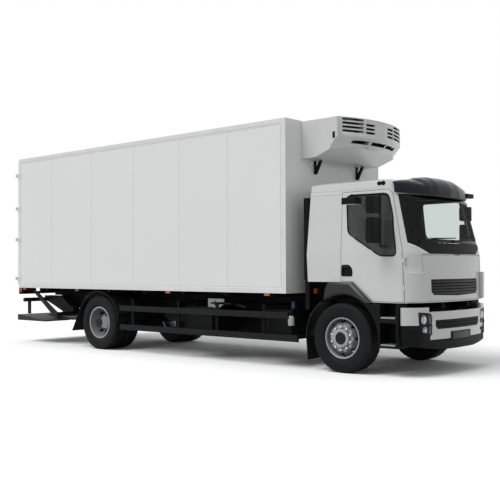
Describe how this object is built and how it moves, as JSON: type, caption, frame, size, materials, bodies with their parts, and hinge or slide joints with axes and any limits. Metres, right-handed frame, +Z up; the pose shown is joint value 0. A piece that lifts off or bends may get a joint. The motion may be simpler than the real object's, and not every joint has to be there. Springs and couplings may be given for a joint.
{
  "type": "refrigerated box truck",
  "caption": "Rigid refrigerated truck with tilting cab, white insulated box body, nose-mounted cooling unit, side guards and tail lift.",
  "frame": {"origin": "on the ground, midway between the front and the rear end, on the centre line", "axes": "+X forward, +Y to the left, +Z up"},
  "size_m": [9.66, 3, 3.84],
  "materials": {
    "tyre": "matt",
    "rim": "silver paint",
    "chassis": "semi-gloss",
    "iron": "rough",
    "body_white": "gloss",
    "trim_alu": "satin",
    "cab_white": "gloss",
    "black_plastic": "grained",
    "grey_plastic": "grained",
    "visor": "tinted gloss",
    "glass": "tinted",
    "lamp": "clear",
    "red_lamp": "gloss",
    "fabric": "woven",
    "mirror_black": "grained",
    "unit_white": "gloss",
    "floor": "ribbed",
    "lift": "galvanised",
    "rubber": "matt"
  },
  "bodies": {
    "chassis": {"air_intake": "black_plastic", "axles": "iron", "body_floor": "floor", "body_front_wall": "body_white", "body_roof": "body_white", "body_sides": "body_white", "body_trims": "trim_alu", "bumper_lower_trim": "black_plastic", "chassis_frame": "chassis", "cooling_unit_cover": "unit_white", "cooling_unit_housing": "unit_white", "cooling_unit_struts": "chassis", "engine_block": "iron", "entry_steps": "black_plastic", "front_bumper": "cab_white", "fuel_tank": "trim_alu", "headlamps": "lamp", "leaf_springs": "chassis", "lift_frame": "lift", "mudflaps": "rubber", "mudguards": "black_plastic", "rear_frame": "trim_alu", "rear_lamps": "red_lamp", "side_boxes": "black_plastic", "side_guards": "trim_alu", "subframe": "chassis"},
    "knuckle_left": {"knuckle_left": "iron"},
    "knuckle_right": {"knuckle_right": "iron"},
    "front_wheel_left": {"tyre_front_left": "tyre", "rim_front_left": "rim"},
    "front_wheel_right": {"tyre_front_right": "tyre", "rim_front_right": "rim"},
    "rear_wheels_left": {"tyres_rear_left": "tyre", "rims_rear_left": "rim"},
    "rear_wheels_right": {"tyres_rear_right": "tyre", "rims_rear_right": "rim"},
    "cab": {"cab_floor": "grey_plastic", "cab_roof": "cab_white", "cab_back": "cab_white", "cab_front": "cab_white", "cab_sides": "cab_white", "cab_black_trim": "black_plastic", "corner_deflectors": "cab_white", "windscreen": "glass", "seats": "fabric", "dashboard": "grey_plastic", "sun_visor": "visor"},
    "cab_door_left": {"cab_door_left": "cab_white", "cab_door_glass_left": "glass", "mirrors_left": "mirror_black"},
    "cab_door_right": {"cab_door_right": "cab_white", "cab_door_glass_right": "glass", "mirrors_right": "mirror_black"},
    "front_lid": {"front_lid": "cab_white", "front_grille": "black_plastic"},
    "rear_door_left": {"rear_door_left": "body_white"},
    "rear_door_right": {"rear_door_right": "body_white"},
    "lift_arms": {"lift_arms": "chassis"},
    "lift_platform": {"lift_platform": "lift"}
  },
  "joints": [
    {"name": "steer_left", "type": "hinge", "parent": "chassis", "child": "knuckle_left", "pos_m": [3.56, 0.9, 0.507], "axis": [0, 0, 1], "range_deg": [-38, 38]},
    {"name": "steer_right", "type": "hinge", "parent": "chassis", "child": "knuckle_right", "pos_m": [3.56, -0.9, 0.507], "axis": [0, 0, 1], "range_deg": [-38, 38]},
    {"name": "front_wheel_left_spin", "type": "hinge", "parent": "knuckle_left", "child": "front_wheel_left", "pos_m": [3.56, 1.08, 0.507], "axis": [0, 1, 0], "continuous": true},
    {"name": "rear_wheels_left_spin", "type": "hinge", "parent": "chassis", "child": "rear_wheels_left", "pos_m": [-2.04, 0.945, 0.507], "axis": [0, 1, 0], "continuous": true},
    {"name": "front_wheel_right_spin", "type": "hinge", "parent": "knuckle_right", "child": "front_wheel_right", "pos_m": [3.56, -1.08, 0.507], "axis": [0, 1, 0], "continuous": true},
    {"name": "rear_wheels_right_spin", "type": "hinge", "parent": "chassis", "child": "rear_wheels_right", "pos_m": [-2.04, -0.945, 0.507], "axis": [0, 1, 0], "continuous": true},
    {"name": "cab_tilt", "type": "hinge", "parent": "chassis", "child": "cab", "pos_m": [4.73, 0, 0.97], "axis": [0, 1, 0], "range_deg": [0, 50]},
    {"name": "cab_door_left_hinge", "type": "hinge", "parent": "cab", "child": "cab_door_left", "pos_m": [4.558, 1.134, 1.44], "axis": [0, 0, -1], "range_deg": [0, 75]},
    {"name": "cab_door_right_hinge", "type": "hinge", "parent": "cab", "child": "cab_door_right", "pos_m": [4.558, -1.134, 1.44], "axis": [0, 0, 1], "range_deg": [0, 75]},
    {"name": "front_lid_hinge", "type": "hinge", "parent": "cab", "child": "front_lid", "pos_m": [4.768, 0, 1.71], "axis": [0, -1, 0], "range_deg": [0, 75]},
    {"name": "rear_door_left_hinge", "type": "hinge", "parent": "chassis", "child": "rear_door_left", "pos_m": [-4.733, 1.305, 2.4], "axis": [0, 0, -1], "range_deg": [0, 258]},
    {"name": "rear_door_right_hinge", "type": "hinge", "parent": "chassis", "child": "rear_door_right", "pos_m": [-4.733, -1.305, 2.4], "axis": [0, 0, 1], "range_deg": [0, 258]},
    {"name": "lift_arm_swing", "type": "hinge", "parent": "chassis", "child": "lift_arms", "pos_m": [-3.7, 0, 0.64], "axis": [0, -1, 0], "range_deg": [0, 28]},
    {"name": "lift_platform_level", "type": "hinge", "parent": "lift_arms", "child": "lift_platform", "pos_m": [-4.5198, 0, 0.51016], "axis": [0, -1, 0], "range_deg": [-28, 0]}
  ],
  "couplings": [
    {"joint": "steer_right", "follows": "steer_left", "ratio": 1},
    {"joint": "lift_platform_level", "follows": "lift_arm_swing", "ratio": -1}
  ]
}
